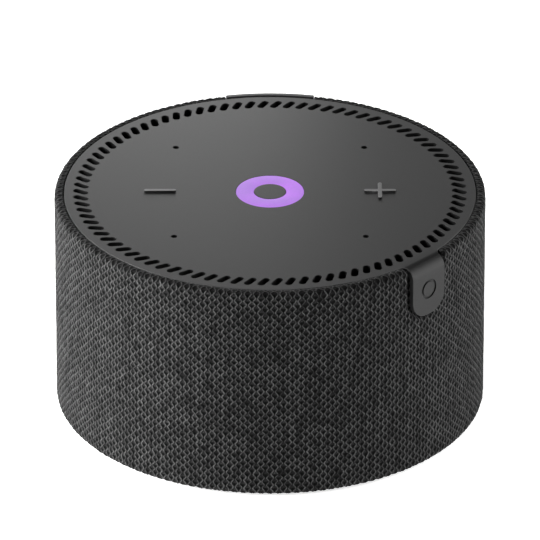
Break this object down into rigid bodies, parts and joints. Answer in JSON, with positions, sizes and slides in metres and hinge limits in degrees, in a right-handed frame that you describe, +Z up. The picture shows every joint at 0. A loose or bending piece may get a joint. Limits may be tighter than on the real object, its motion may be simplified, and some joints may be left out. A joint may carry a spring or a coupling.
{
  "type": "smart home hub",
  "caption": "Low round voice hub wrapped in knitted fabric, with a touch panel, a lit centre ring, rim sound slots, a hanging tab and a rear connector plate.",
  "frame": {"origin": "centre of the foot's underside, on the surface that the hub stands on", "axes": "+Z up; -Y is the front, +Y the side with the connector plate; +X is the side of the plus mark"},
  "size_m": [0.098, 0.098, 0.0525],
  "materials": {
    "panel_plastic": "fine satin moulded texture, dark grey",
    "woven_fabric": "dark grey open knit over a black ground",
    "plate_plastic": "fine satin moulded texture, dark grey",
    "black_plastic": "black moulded plastic",
    "black_rubber": "matt black rubber",
    "circuit_board": "green solder mask",
    "chip_package": "black epoxy package",
    "plated_steel": "zinc-plated or nickel-plated steel",
    "tinned_shield": "tinned sheet",
    "ferrite": "sintered ferrite",
    "copper_wire": "enamelled copper winding on a former",
    "cone_paper": "black coated paper pulp",
    "spider_cloth": "resin-treated cotton",
    "black_foam": "closed-cell foam",
    "conductive_foam": "conductive foam",
    "ribbon_film": "white polyester ribbon and connector plastic",
    "acoustic_mesh": "black acoustic cloth",
    "light_lens": "translucent lens, lit violet from behind",
    "dark_cap": "smooth dark grey plastic",
    "led_package": "white LED package"
  },
  "bodies": {
    "housing": {"top_panel": "panel_plastic", "fabric_sleeve": "woven_fabric", "rear_plate": "plate_plastic", "inner_shell": "black_plastic", "bottom_cover": "black_plastic", "foot_pad": "black_rubber", "base_weight": "plated_steel", "main_board": "circuit_board", "processor_shield": "tinned_shield", "radio_shield": "tinned_shield", "amplifier_chip": "chip_package", "power_inductor": "ferrite", "speaker_connector": "ribbon_film", "chamber_cup": "black_plastic", "chamber_lid": "black_plastic", "speaker_gasket": "black_foam", "speaker_basket": "plated_steel", "speaker_yoke": "plated_steel", "speaker_magnet": "ferrite", "speaker_top_plate": "plated_steel", "speaker_spider": "spider_cloth", "speaker_surround": "black_rubber", "speaker_lead": "black_rubber", "port_board": "circuit_board", "usb_c_port": "plated_steel", "mute_switch": "chip_package", "ribbon_cable": "ribbon_film", "port_ribbon": "ribbon_film", "radio_antenna": "circuit_board", "top_board": "circuit_board", "microphone_gasket": "black_foam", "light_seal": "black_foam", "touch_pad_minus": "conductive_foam", "touch_pad_plus": "conductive_foam", "vent_mesh": "acoustic_mesh", "light_lens": "light_lens", "centre_cap": "dark_cap", "base_screw_1": "plated_steel", "chamber_screw_1": "plated_steel", "base_screw_2": "plated_steel", "chamber_screw_2": "plated_steel", "base_screw_3": "plated_steel", "chamber_screw_3": "plated_steel", "speaker_screw_1": "plated_steel", "status_led_1": "led_package", "microphone_1": "tinned_shield", "speaker_screw_2": "plated_steel", "status_led_2": "led_package", "microphone_2": "tinned_shield", "speaker_screw_3": "plated_steel", "status_led_3": "led_package", "microphone_3": "tinned_shield", "speaker_screw_4": "plated_steel", "status_led_4": "led_package", "microphone_4": "tinned_shield"},
    "speaker_diaphragm": {"speaker_cone": "cone_paper", "voice_coil": "copper_wire", "dust_cap": "cone_paper"},
    "mute_key": {"mute_button": "plate_plastic"},
    "switch_stem": {"switch_plunger": "black_plastic"}
  },
  "joints": [
    {"name": "speaker_stroke", "type": "slide", "parent": "housing", "child": "speaker_diaphragm", "axis": [0, 0, 1], "range_m": [-0.0015, 0.0015], "stiffness_N_per_m": 1500, "deforming": ["speaker_spider", "speaker_surround"]},
    {"name": "mute_press", "type": "slide", "parent": "housing", "child": "mute_key", "axis": [0, -1, 0], "range_m": [0, 0.0005], "stiffness_N_per_m": 2000},
    {"name": "switch_press", "type": "slide", "parent": "housing", "child": "switch_stem", "axis": [0, -1, 0], "range_m": [0, 0.0005]}
  ],
  "couplings": [
    {"joint": "switch_press", "follows": "mute_press", "ratio": 1}
  ]
}
